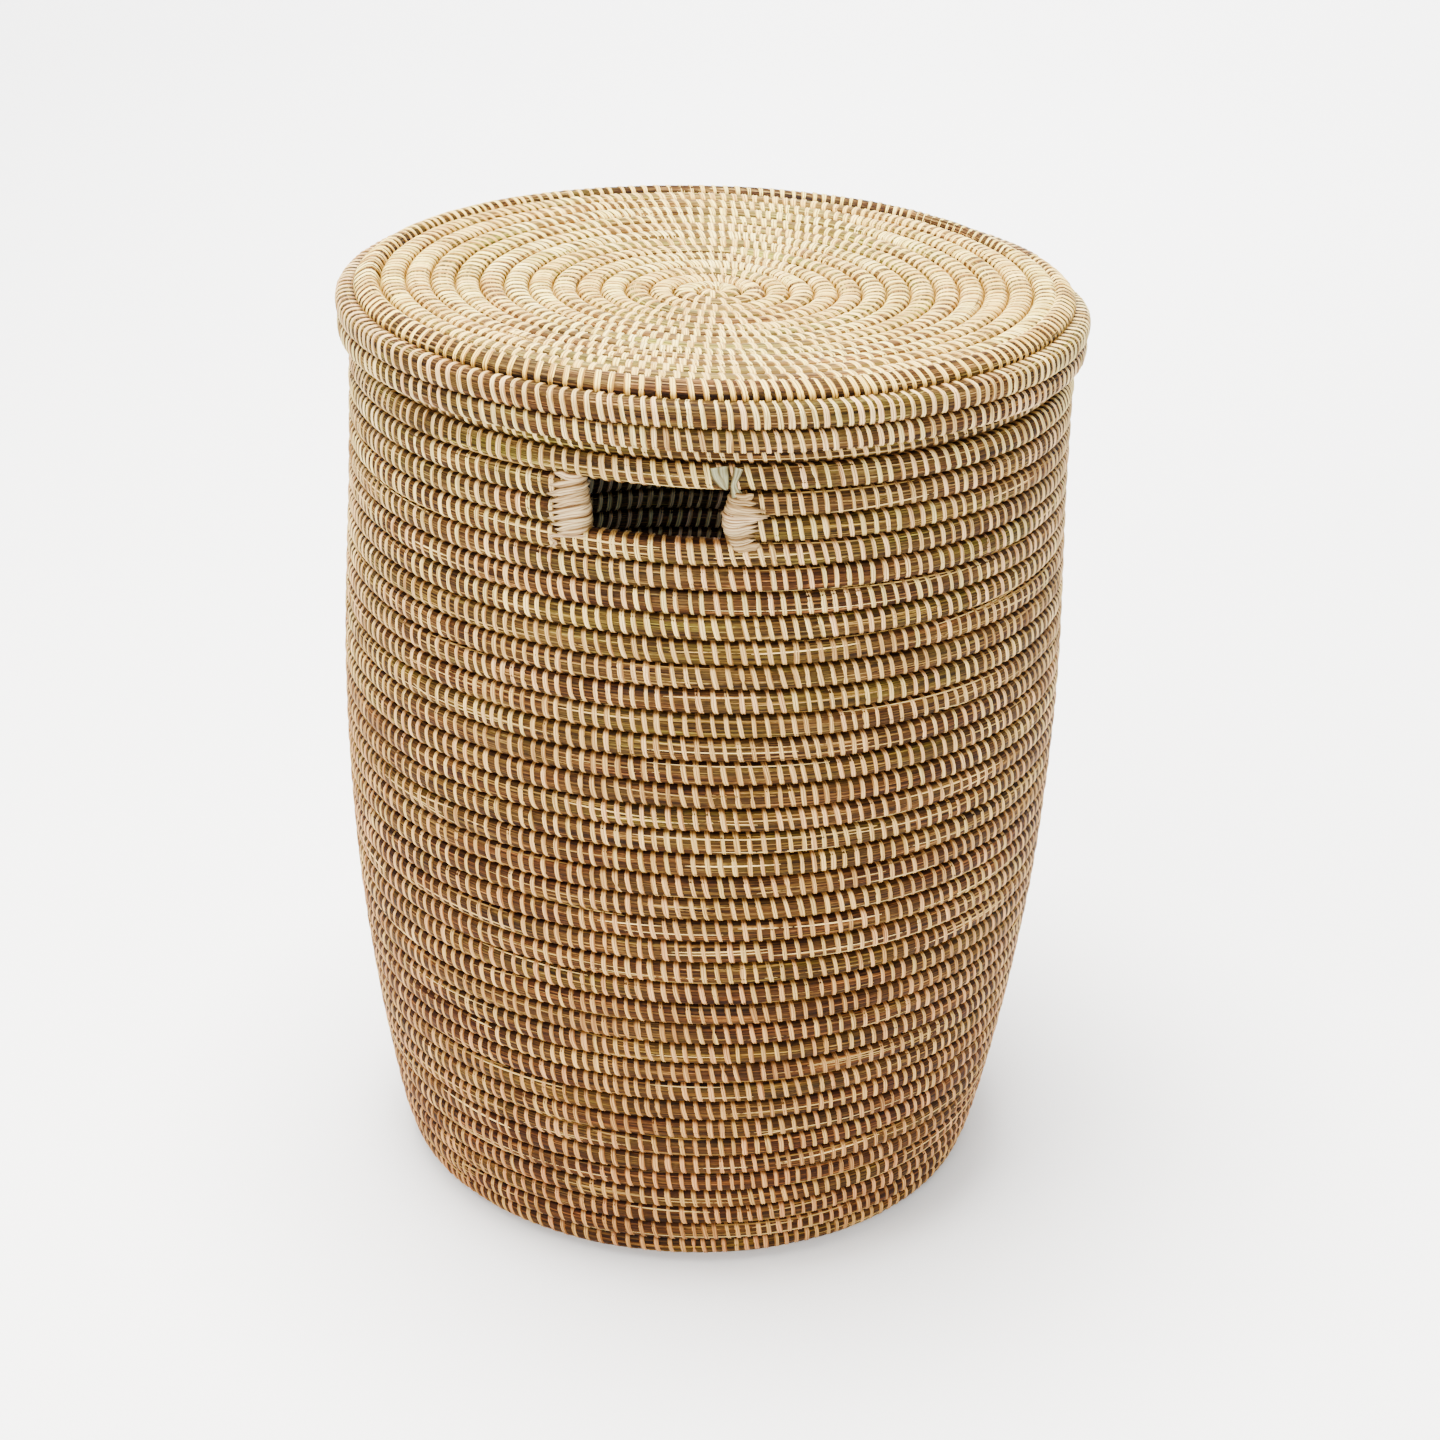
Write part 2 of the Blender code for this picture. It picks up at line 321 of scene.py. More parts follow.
class Shape:
    """Many small shapes gathered into one mesh. Each vertex also gets its place in the fibre's
    own directions, a tint and how deep in a groove it is, for the materials."""

    def __init__(self):
        self.points = []
        self.quads = []
        self.caps = []
        self.lays = []
        self.tints = []
        self.depths = []
        self.count = 0

    def add(self, points, quads, lay, tint=0.0, caps=(), depth=0.0):
        size = points.size // 3
        self.points.append(points.reshape(-1, 3))
        self.quads.append(quads + self.count)
        self.caps += [[v + self.count for v in cap] for cap in caps]
        self.lays.append(np.broadcast_to(lay, points.shape).reshape(-1, 3))
        self.tints.append(np.broadcast_to(tint, points.shape[:-1]).reshape(-1))
        self.depths.append(np.broadcast_to(depth, points.shape[:-1]).reshape(-1))
        self.count += size

    def build(self, name, material):
        points = np.concatenate(self.points).astype(np.float32)
        quads = np.concatenate(self.quads)
        cap_loops = np.array([v for cap in self.caps for v in cap], int)
        loops = np.concatenate([quads.ravel(), cap_loops]).astype(np.int32)
        cap_sizes = np.array([len(cap) for cap in self.caps], int)
        sizes = np.concatenate([np.full(len(quads), 4), cap_sizes])
        starts = np.concatenate([[0], np.cumsum(sizes)[:-1]]).astype(np.int32)
        mesh = bpy.data.meshes.new(name)
        mesh.vertices.add(len(points))
        mesh.vertices.foreach_set("co", points.ravel())
        mesh.loops.add(len(loops))
        mesh.loops.foreach_set("vertex_index", loops)
        mesh.polygons.add(len(sizes))
        mesh.polygons.foreach_set("loop_start", starts)
        mesh.polygons.foreach_set("use_smooth", np.ones(len(sizes), bool))
        lay = mesh.attributes.new("lay", "FLOAT_VECTOR", "POINT")
        lay.data.foreach_set("vector", np.concatenate(self.lays).astype(np.float32).ravel())
        for word, values in (("tint", self.tints), ("depth", self.depths)):
            attribute = mesh.attributes.new(word, "FLOAT", "POINT")
            attribute.data.foreach_set("value", np.concatenate(values).astype(np.float32))
        mesh.update(calc_edges=True)
        mesh.validate()
        mesh.materials.append(material)
        piece = bpy.data.objects.new(name, mesh)
        bpy.context.scene.collection.objects.link(piece)
        return piece


def lay_bundle(shape, coil, k, u_from, u_to, seed, thins=False):
    """The grass bundle of turn k from u_from to u_to, pulled in under its stitches."""
    rng = np.random.default_rng(seed)
    stitches = coil.stitches[k]
    inside = stitches[(stitches > u_from) & (stitches < u_to)]
    knots = np.concatenate([[u_from], inside, [u_to]])
    phase = np.arange(STEPS_PER_STITCH) / STEPS_PER_STITCH
    u = np.append((knots[:-1, None] + np.diff(knots)[:, None] * phase).ravel(), u_to)
    azimuth, r, z = coil.at(k, u)
    length = np.concatenate([[0], np.cumsum(np.abs(np.diff(azimuth)) * r[1:])])
    swell = np.append(np.tile(np.sin(math.pi * phase), len(knots) - 1), 0.0)
    radius = (STITCH_RADIUS + (GRASS_RADIUS - STITCH_RADIUS) * swell) * coil.slim.get(k, 1.0)
    turned = np.arange(BUNDLE_SIDES) * math.tau / BUNDLE_SIDES
    angle = turned + coil.towards_next(k)
    stations = max(int(length[-1] / LUMP_LENGTH), 2)
    lumps = rng.normal(0, LUMP_HEIGHT, (stations + 1, BUNDLE_SIDES))
    along = length / length[-1] * stations
    low = np.minimum(along.astype(int), stations - 1)
    mix = smooth(along - low)[:, None]
    relief = lumps[low] * (1 - mix) + lumps[low + 1] * mix
    rho = radius[:, None] * squared(turned) + relief
    if k == 0:
        rho *= first_growth(u, u_from)[:, None]
    thin, sag = coil.thinning(k, u, u_to, thins)
    rho *= thin[:, None]
    z = z + sag
    outward = rho * np.cos(angle)
    upward = rho * np.sin(angle)
    points = place(azimuth[:, None], r[:, None] + outward, z[:, None] + upward)
    start = TURN_SHIFT * k + (0 if coil.hand > 0 else LID_SHIFT)
    lay = np.stack(np.broadcast_arrays((start + length)[:, None], outward, upward), -1)
    last = (len(u) - 1) * BUNDLE_SIDES
    caps = (range(BUNDLE_SIDES), range(last + BUNDLE_SIDES - 1, last - 1, -1))
    depth = coil.depth(k, turned)
    shape.add(points, grid_faces(len(u), BUNDLE_SIDES), lay, rng.random(), caps, depth)


def lay_strands(shape, coil, k, u_from, u_to, seed):
    """Loose strands on the outside of turn k, some golden and some dark."""
    rng = np.random.default_rng(seed)
    turn = math.tau * max(coil.r[k], 0.02)
    facing = coil.towards_next(k) - math.pi / 2
    for _ in range(int(turn * (u_to - u_from) / STRAND_SPACING)):
        reach = rng.uniform(*STRAND_LENGTHS) * rng.uniform(*STRAND_SHARES) / turn
        first = rng.uniform(u_from, max(u_to - reach, u_from))
        last = min(first + reach, u_to)
        count = max(int((last - first) * turn / STRAND_STEP), 4)
        share = np.linspace(0, 1, count)
        azimuth, radius, height = coil.at(k, first + (last - first) * share)
        angle = facing + rng.normal(0, STRAND_SPREAD)
        angle = angle + rng.normal(0, STRAND_WANDER) * (share - 0.5)
        half = rng.uniform(*STRAND_WIDTHS) * np.sqrt(np.sin(math.pi * (0.02 + 0.96 * share)))
        radius_there = STITCH_RADIUS * coil.slim.get(k, 1.0) * squared(angle - coil.towards_next(k))
        sides = np.arange(STRAND_SIDES) * math.tau / STRAND_SIDES
        rise = half[:, None] * STRAND_FLATNESS * np.cos(sides)
        rho = (radius_there + STRAND_LIFT)[:, None] + rise
        beta = angle[:, None] + half[:, None] / STITCH_RADIUS * np.sin(sides)
        outward = rho * np.cos(beta)
        upward = rho * np.sin(beta)
        points = place(azimuth[:, None], radius[:, None] + outward, height[:, None] + upward)
        along = np.broadcast_to(share[:, None] * (last - first) * turn, rho.shape)
        lay = np.stack([along + STRAND_SHIFT * rng.random(), outward, upward], -1)
        last_side = STRAND_SIDES * (count - 1)
        caps = (range(STRAND_SIDES), range(last_side + STRAND_SIDES - 1, last_side - 1, -1))
        shape.add(points, grid_faces(count, STRAND_SIDES), lay, LOOSE_TINT + rng.random(), caps)


def sew(shape, coil, k, u_from, u_to, seed, thins=False):
    """The strips that bind turn k to the turn before it: one closed loop for each stitch."""
    rng = np.random.default_rng(seed)
    u = coil.stitches[k]
    u = u[(u > u_from) & (u < u_to)]
    n = len(u)
    azimuth, r, z = coil.at(k, u)
    thin, sag = coil.thinning(k, u, u_to, thins)
    z = z + sag
    turned = np.arange(STRIP_POINTS) * math.tau / STRIP_POINTS
    across = np.array(STRIP_ACROSS)
    width = coil.strip_width(k) / 2 * rng.normal(1.0, WIDTH_SPREAD, n).clip(*WIDTH_LIMITS)
    drift = sum(np.sin(math.tau * (waves * u + rng.random())) for waves in LEAN_WAVES)
    lean = STRIP_LEAN * (rng.normal(1.0, LEAN_SPREAD, n) + LEAN_DRIFT * drift)
    facing = np.cos(turned)
    hook = np.clip(-facing, 0, 1) ** 3
    shift = coil.hand * (lean[:, None] / 2 * facing - STRIP_HOOK * hook)
    narrow = 1 - HOOK_NARROWING * hook
    waist_at = rng.uniform(-TWIST_SPREAD, TWIST_SPREAD, n) - math.pi / 2
    away = (turned - waist_at[:, None] + math.pi) % math.tau - math.pi
    twisted = (rng.random(n) < TWISTED_SHARE)[:, None]
    narrow = narrow * (1 - TWIST_NARROWING * np.exp(-away**2 / TWIST_EXTENT) * twisted)
    side = shift[:, :, None] + narrow[:, :, None] * width[:, None, None] * across
    lift = rng.normal(0, HEIGHT_SPREAD, n)[:, None, None] + np.array(STRIP_HEIGHTS)
    section = STITCH_RADIUS * coil.slim.get(k, 1.0) * squared(turned)
    rho = thin[:, None, None] * section[None, :, None] + lift
    if k == 0:
        rho = rho * first_growth(u, u_from)[:, None, None]
    angle = (turned + coil.towards_next(k))[None, :, None]
    reach = r[:, None, None] + rho * np.cos(angle)
    theta = azimuth[:, None, None] + side / np.maximum(np.abs(reach), LEAST_REACH)
    points = place(theta, reach, z[:, None, None] + rho * np.sin(angle))
    leaf = np.cumsum(rng.random(n) < 1 / STITCHES_PER_STRIP)
    tone = (STRIP_TONES * rng.random(n + 1)[leaf] + STITCH_TONES * rng.random(n))[:, None, None]
    lay = np.stack(
        np.broadcast_arrays(turned[None, :, None] * STITCH_RADIUS + 3 * tone, across, tone), -1
    )
    loop = grid_faces(STRIP_POINTS, len(across), close_rows=True, close_columns=False)
    quads = loop[None] + (np.arange(n) * STRIP_POINTS * len(across))[:, None, None]
    depth = coil.depth(k, turned)[None, :, None]
    shape.add(points, quads.reshape(-1, 4)[:, ::-1], lay, tone, depth=depth)


def new_material(name, roughness, specular=0.5):
    material = bpy.data.materials.new(name)
    material.use_nodes = True
    tree = material.node_tree
    shader = tree.nodes["Principled BSDF"]
    shader.inputs["Roughness"].default_value = roughness
    shader.inputs["Specular IOR Level"].default_value = specular
    return material, tree, shader


def read_attribute(tree, name):
    node = tree.nodes.new("ShaderNodeAttribute")
    node.attribute_name = name
    return node


def part_of(tree, vector, axis):
    split = tree.nodes.new("ShaderNodeSeparateXYZ")
    tree.links.new(vector, split.inputs["Vector"])
    return split.outputs[axis]


def ramp(tree, source, stops):
    """Colour ramp of (position, colour) stops."""
    node = tree.nodes.new("ShaderNodeValToRGB")
    elements = node.color_ramp.elements
    while len(elements) < len(stops):
        elements.new(0.5)
    for element, (position, colour) in zip(elements, stops):
        element.position = position
        element.color = (*colour, 1.0)
    tree.links.new(source, node.inputs["Fac"])
    return node.outputs["Color"]


def noise(tree, source, scale, offset=(0, 0, 0), detail=2.0, roughness=0.5):
    """Noise stretched by a scale along each of the source's directions."""
    stretch = tree.nodes.new("ShaderNodeMapping")
    stretch.inputs["Scale"].default_value = scale
    stretch.inputs["Location"].default_value = offset
    node = tree.nodes.new("ShaderNodeTexNoise")
    node.inputs["Scale"].default_value = 1.0
    node.inputs["Detail"].default_value = detail
    node.inputs["Roughness"].default_value = roughness
    tree.links.new(source, stretch.inputs["Vector"])
    tree.links.new(stretch.outputs["Vector"], node.inputs["Vector"])
    return node.outputs["Fac"]


def mix_colours(tree, a, b, factor):
    node = tree.nodes.new("ShaderNodeMix")
    node.data_type = "RGBA"
    tree.links.new(factor, node.inputs["Factor"])
    tree.links.new(a, node.inputs["A"])
    tree.links.new(b, node.inputs["B"])
    return node.outputs["Result"]


def multiply_colours(tree, first, *others):
    for other in others:
        node = tree.nodes.new("ShaderNodeMix")
        node.data_type = "RGBA"
        node.blend_type = "MULTIPLY"
        node.inputs["Factor"].default_value = 1.0
        tree.links.new(first, node.inputs["A"])
        tree.links.new(other, node.inputs["B"])
        first = node.outputs["Result"]
    return first


def calculate(tree, operation, *sources):
    node = tree.nodes.new("ShaderNodeMath")
    node.operation = operation
    for source, socket in zip(sources, node.inputs):
        tree.links.new(source, socket)
    return node.outputs["Value"]


def add_bump(tree, shader, height):
    bump = tree.nodes.new("ShaderNodeBump")
    bump.inputs["Strength"].default_value = BUMP_STRENGTH
    bump.inputs["Distance"].default_value = BUMP_DISTANCE
    tree.links.new(height, bump.inputs["Height"])
    tree.links.new(bump.outputs["Normal"], shader.inputs["Normal"])


def remap(tree, source, low, high, to_low=0.0, to_high=1.0):
    node = tree.nodes.new("ShaderNodeMapRange")
    node.inputs["From Min"].default_value = low
    node.inputs["From Max"].default_value = high
    node.inputs["To Min"].default_value = to_low
    node.inputs["To Max"].default_value = to_high
    tree.links.new(source, node.inputs["Value"])
    return node.outputs["Result"]


def painted_shade(tree, groove):
    """Painted shade: a warm darkening that deepens towards the basket's foot, and painted shade in
    the grooves where turns meet.
    """
    position = tree.nodes.new("ShaderNodeTexCoord").outputs["Object"]
    height = ramp(tree, remap(tree, part_of(tree, position, "Z"), 0.0, FOOT_SHADE_HEIGHT), (
        (0.0, (0.64, 0.43, 0.28)),
        (0.55, (0.82, 0.69, 0.56)),
        (1.0, (1.0, 1.0, 1.0)),
    ))
    depth = ramp(tree, read_attribute(tree, "depth").outputs["Fac"], (
        (0.60, (1.0, 1.0, 1.0)),
        (0.82, groove),
    ))
    return multiply_colours(tree, height, depth)


def grass_material(name, stops, groove):
    """Dried grass: fine strands along the coil, from painted shade in the gaps between them to gold
    strands with painted highlights, in uneven patches, with painted shade in the grooves and
    towards the foot.
    """
    material, tree, shader = new_material(name, 0.62, specular=0.05)
    lay = read_attribute(tree, "lay").outputs["Vector"]
    tint = read_attribute(tree, "tint").outputs["Fac"]
    strands = noise(tree, lay, STRAND_SCALE, detail=3.0, roughness=0.62)
    # Strand grain: its near-black end is painted shade between the strands, and its gold end is
    # painted highlights on them.
    fine = ramp(tree, strands, stops)
    patches = ramp(tree, noise(tree, lay, PATCH_SCALE, (5, 2, 8)), (
        (0.32, (0.72, 0.56, 0.42)),
        (0.44, (0.95, 0.78, 0.62)),
        (0.54, (1.0, 0.95, 0.80)),
        (0.66, (0.95, 1.0, 0.66)),
    ))
    rows = ramp(tree, noise(tree, lay, ROW_SCALE, (1, 7, 3)), (
        (0.36, (0.82, 0.62, 0.52)),
        (0.46, (0.95, 0.82, 0.66)),
        (0.54, (1.0, 1.0, 0.84)),
        (0.64, (1.0, 1.12, 0.60)),
    ))
    # The last factor is painted shade towards the foot and in the grooves.
    bundle = multiply_colours(tree, fine, patches, rows, painted_shade(tree, groove))
    loose = ramp(tree, remap(tree, tint, LOOSE_TINT, LOOSE_TINT + 1), (
        (0.0, (0.014, 0.006, 0.002)),
        (0.25, (0.06, 0.028, 0.008)),
        (0.45, (0.20, 0.105, 0.022)),
        (0.75, (0.40, 0.25, 0.07)),
        (1.0, (0.80, 0.56, 0.20)),
    ))
    is_loose = remap(tree, tint, LOOSE_TINT - 0.6, LOOSE_TINT - 0.4)
    colour = mix_colours(tree, bundle, loose, is_loose)
    tree.links.new(colour, shader.inputs["Base Color"])
    add_bump(tree, shader, strands)
    return material


def strip_material(name, stops, groove):
    """Pale sewing strip: pearly, with folds and a crease along it, and painted shade in its folds,
    along its crease, at its edges, in the grooves and towards the foot. Each stitch has its own
    tone."""
    material, tree, shader = new_material(name, 0.44, specular=0.10)
    lay = read_attribute(tree, "lay").outputs["Vector"]
    tint = read_attribute(tree, "tint").outputs["Fac"]
    tone = ramp(tree, tint, stops)
    folds = noise(tree, lay, FOLD_SCALE, roughness=0.55)
    # Painted shade in the strip's folds.
    shade = ramp(tree, folds, (
        (0.36, (0.36, 0.28, 0.20)),
        (0.47, (0.78, 0.73, 0.66)),
        (0.57, (1.0, 1.0, 1.0)),
    ))
    crease = remap(tree, noise(tree, lay, CREASE_SCALE), 0.3, 0.7, -CREASE_REACH, CREASE_REACH)
    off_crease = calculate(tree, "ADD", part_of(tree, lay, "Y"), crease)
    # Painted shade at the strip's edges and along its crease.
    edge_and_crease_shade = ramp(tree, calculate(tree, "ABSOLUTE", off_crease), (
        (0.0, (0.40, 0.31, 0.22)),
        (0.22, (1.0, 1.0, 1.0)),
        (0.54, (1.0, 1.0, 1.0)),
        (1.0, (0.36, 0.26, 0.16)),
    ))
    colour = multiply_colours(tree, tone, shade, painted_shade(tree, groove), edge_and_crease_shade)
    tree.links.new(colour, shader.inputs["Base Color"])
    add_bump(tree, shader, folds)
    return material


# From painted shade between the strands to painted gold highlights on them; the last colour is the
# painted shade in the grooves.
GRASS = grass_material("dried_grass", (
    (0.34, (0.0066, 0.0028, 0.0010)),
    (0.44, (0.025, 0.0125, 0.0041)),
    (0.53, (0.059, 0.034, 0.0122)),
    (0.62, (0.130, 0.083, 0.032)),
    (0.72, (0.52, 0.37, 0.16)),
), (0.28, 0.20, 0.14))
# A lighter copy of the grass, with lighter grooves: painted light for the stronger light on the
# lid's top.
LID_GRASS = grass_material("lid_grass_painted_lighter", (
    (0.33, (0.018, 0.010, 0.003)),
    (0.43, (0.060, 0.038, 0.011)),
    (0.53, (0.135, 0.100, 0.029)),
    (0.62, (0.28, 0.22, 0.070)),
    (0.72, (0.70, 0.55, 0.20)),
), (0.60, 0.48, 0.36))
# Each strip's tones are followed by the colour of its painted groove shade.
STRIP = strip_material("pale_strip", (
    (0.00, (0.46, 0.29, 0.11)),
    (0.14, (0.62, 0.44, 0.17)),
    (0.30, (0.74, 0.55, 0.23)),
    (0.44, (0.82, 0.55, 0.27)),
    (0.58, (0.72, 0.61, 0.24)),
    (0.72, (0.88, 0.68, 0.26)),
    (0.88, (0.94, 0.75, 0.38)),
), (0.34, 0.25, 0.18))
WOUND_STRIP = strip_material("wound_strip", (
    (0.00, (0.33, 0.23, 0.10)),
    (0.20, (0.47, 0.34, 0.17)),
    (0.45, (0.58, 0.42, 0.24)),
    (0.70, (0.54, 0.43, 0.23)),
    (0.88, (0.39, 0.37, 0.22)),
    (1.00, (0.28, 0.29, 0.17)),
), (0.34, 0.25, 0.18))
# A lighter copy of the strip, with lighter grooves: painted light for the stronger light on the
# lid's top.
LID_STRIP = strip_material("lid_strip_painted_lighter", (
    (0.00, (0.74, 0.49, 0.11)),
    (0.20, (0.89, 0.64, 0.15)),
    (0.45, (0.96, 0.71, 0.21)),
    (0.60, (0.94, 0.75, 0.18)),
    (0.88, (0.98, 0.82, 0.30)),
), (0.66, 0.55, 0.42))


def finish_piece(shape, name, material, body, nodes=()):
    piece = shape.build(name, material)
    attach(piece, body)
    if nodes:
        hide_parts(*nodes)


def dress(coil, node, body, stretches, thins=False, looks=(GRASS, STRIP), part=""):
    """Grass and stitches that stand for one CAD node, or a part of it, over (turn, from, to)
    stretches."""
    grass = Shape()
    strips = Shape()
    for k, u_from, u_to in stretches:
        lay_bundle(grass, coil, k, u_from, u_to, 100 + k, thins)
        lay_strands(grass, coil, k, u_from, u_to - END_TAPER * thins, 300 + k)
        sew(strips, coil, k, u_from, u_to, 500 + k, thins)
    finish_piece(grass, f"{node}{part}_grass", looks[0], body, (node,))
    finish_piece(strips, f"{node}{part}_stitches", looks[1], body)


def whole(*turns):
    """Stretches for whole turns, from seam to seam."""
    return [(k, SEAM - 1, SEAM) for k in turns]


def ring_of(node):
    """Centre-line radius and height of a CAD ring."""
    low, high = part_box(node)
    return (high.x - low.x) / 2 - COIL_WIDTH / 2, (low.z + high.z) / 2


def arc_of(node):
    """Centre-line radius and height of a CAD arc that crosses the X axis."""
    low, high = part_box(node)
    return max(-low.x, high.x) - COIL_WIDTH / 2, (low.z + high.z) / 2


def spiral_rings(outer, height_at):
    """Turns of a flat spiral inside a ring, from its middle out."""
    count = int(outer / PITCH)
    radii = [outer - PITCH * i for i in range(count, 0, -1)]
    return [(r, height_at(r)) for r in radii]


# The basket: base spiral, wall, the two turns cut by the hand holes, rail, neck and mouth.
WALL = [f"wall_coil_{i:02d}" for i in range(1, 36)]
LEVELS = ("lower", "upper")
LOWEST = PITCH / 2 + BASE_LIFT
wall_rings = [ring_of(node) for node in WALL]
level_rings = [arc_of(f"handle_level_coil_{word}_left") for word in LEVELS]
rail_ring, neck_ring, mouth_ring = (
    ring_of(node) for node in ("handle_rail_coil", "neck_coil", "mouth_coil")
)
neck_ring = (neck_ring[0] + NECK_OUT, neck_ring[1] - NECK_DOWN)
base_rings = spiral_rings(wall_rings[0][0], lambda r: LOWEST)
basket_rings = base_rings + wall_rings + level_rings + [rail_ring, neck_ring, mouth_ring]
FIRST_WALL = len(base_rings)
FIRST_LEVEL = FIRST_WALL + len(WALL)
RAIL = FIRST_LEVEL + len(LEVELS)
NECK = RAIL + 1
MOUTH = RAIL + 2


def basket_tilt(k):
    """How much of the climb shows as a tilt of the whole turn: none at the floor and mouth."""
    start, end = TILT_TURNS
    return float(smooth((k - FIRST_WALL) / start) * smooth((MOUTH - k) / end))


basket = Coil(
    [(r, max(z, LOWEST)) for r, z in basket_rings], BASKET_HAND, FIRST_WALL, basket_tilt,
    lambda k: STRIP_WIDTH, {NECK: NECK_SLIM},
)
dress(basket, "base_disc", "basket", whole(*range(FIRST_WALL)))
for i, node in enumerate(WALL):
    dress(basket, node, "basket", whole(FIRST_WALL + i))

hole_low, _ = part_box("handle_binding_front_right")
HOLE_RADIUS = level_rings[0][0]
HOLE_HALF = hole_low.x + HOLE_INSET
END_OF_TURN = (HOLE_HALF + CUT_BACK) / HOLE_RADIUS / math.tau
for i, word in enumerate(LEVELS):
    k = FIRST_LEVEL + i
    halves = {
        "right": [(-0.5 + END_OF_TURN, -END_OF_TURN)],
        "left": [(END_OF_TURN, SEAM), (SEAM - 1, -0.5 - END_OF_TURN)],
    }
    for side, spans in halves.items():
        node = f"handle_level_coil_{word}_{side}"
        dress(basket, node, "basket", [(k, u_from, u_to) for u_from, u_to in spans])
dress(basket, "handle_rail_coil", "basket", whole(RAIL))
dress(basket, "neck_coil", "basket", whole(NECK))
dress(basket, "mouth_coil", "basket", whole(MOUTH), thins=True)

HOLE_HEIGHT = (level_rings[0][1] + level_rings[1][1]) / 2
ROWS_BY_HOLE = (wall_rings[-1][1], level_rings[0][1], level_rings[1][1], rail_ring[1])


def hole_point(front, left, a, n, h):
    """Point beside a hand hole: a from its edge along the wall, n outward from the coil's centre
    line and h above the hole's middle."""
    sign = 1 if front == left else -1
    azimuth = (0 if front else math.pi) + sign * (HOLE_HALF + a) / HOLE_RADIUS
    return place(azimuth, HOLE_RADIUS + n, HOLE_HEIGHT + h)


def coil_face(h):
    """How far the wall's face stands out from the coil's centre line at a height."""
    nearest = min(abs(HOLE_HEIGHT + h - z) for z in ROWS_BY_HOLE)
    return max(math.sqrt(max(GRASS_RADIUS**2 - nearest**2, 0)), LEAST_FACE * GRASS_RADIUS)


def add_ribbon(shape, hole, path, normal, widths, puff, tone, rng):
    """A crumpled strip along a path of (a, n, h), laid on the side that its normals point to."""
    across = np.linspace(-1, 1, RIBBON_POINTS)
    count = len(path)
    along = np.linspace(0, 1, count)
    tangent = np.gradient(path, axis=0)
    sideways = np.cross(tangent, normal)
    sideways /= np.linalg.norm(sideways, axis=1)[:, None]
    folds = rng.normal(0, 1, (RIBBON_POINTS, 3))
    waves = np.sin(math.tau * (along[:, None, None] * (0.7 + np.arange(3)) + folds[None]))
    crumple = (folds * waves).sum(2) * FOLD_HEIGHT
    crown = puff * np.sqrt(1 - 0.96 * across**2)
    rise = crown[None, :] + crumple * (1 - across**2) ** 0.5
    half = (widths / 2)[:, None, None]
    flat = path[:, None] + sideways[:, None] * across[None, :, None] * half
    top = flat + normal[:, None] * rise[..., None]
    under = (path - normal * puff * 0.5)[:, None]
    a, n, h = np.moveaxis(np.concatenate([top, under], 1), -1, 0)
    columns = RIBBON_POINTS + 1
    length = np.cumsum(np.linalg.norm(tangent, axis=1))
    lay = np.stack(
        np.broadcast_arrays(length[:, None] + 5 * tone, np.append(across, 1.0), tone), -1
    )
    quads = grid_faces(count, columns)
    last = (count - 1) * columns
    caps = [range(columns), range(last + columns - 1, last - 1, -1)]
    if hole[0] == hole[1]:
        quads = quads[:, ::-1]
        caps = [cap[::-1] for cap in caps]
    shape.add(hole_point(*hole, a, n, h), quads, lay, tone, caps)


def wrap_strip(shape, hole, tip, tip_height, edge, edge_height, width, blunt, rng):
    """A strip from its tip on the wall's face, round the hole's edge and back along the inside."""
    front_count, turn_count, inner_count = WRAP_POINTS
    count = sum(WRAP_POINTS)
    half_turned = front_count + turn_count // 2
    face = WRAP_FACE + rng.normal(0, WRAP_FACE_SPREAD)
    middle = edge + WRAP_TURN
    bend = np.linspace(math.pi / 2, -math.pi / 2, turn_count + 2)[1:-1]
    front = np.linspace(tip, middle, front_count)
    inner = np.linspace(middle, edge + rng.uniform(*WRAP_INSIDE), inner_count)
    a = np.concatenate([front, middle - WRAP_TURN * np.cos(bend), inner])
    rise = np.concatenate([np.full(front_count, 1.0), np.sin(bend), np.full(inner_count, -1.0)])
    n = face * rise - TIP_SUNK * (1 - smooth(np.arange(count) / 3))
    n[-len(INNER_RISE):] += INNER_RISE
    share = smooth(np.clip((tip - a[:half_turned]) / (tip - edge), 0, 1))
    h_front = tip_height + (edge_height - tip_height) * share
    h_inside = edge_height + np.linspace(0, rng.normal(0, WRAP_DRIFT), count - half_turned)
    wave = WAVE_HEIGHT * np.sin(np.linspace(0, rng.uniform(*WAVE_SPANS), count))
    h = np.concatenate([h_front, h_inside]) + wave
    normal = np.stack([-np.cos(np.arcsin(rise)), rise, np.zeros(count)], 1)
    taper = np.ones(count)
    taper[:len(BLUNT_TIP)] = BLUNT_TIP if blunt else POINTED_TIP
    taper[-len(INNER_TIP):] = INNER_TIP
    tone = rng.uniform(*WRAP_TONES)
    add_ribbon(shape, hole, np.stack([a, n, h], 1), normal, width * taper, WRAP_PUFF, tone, rng)


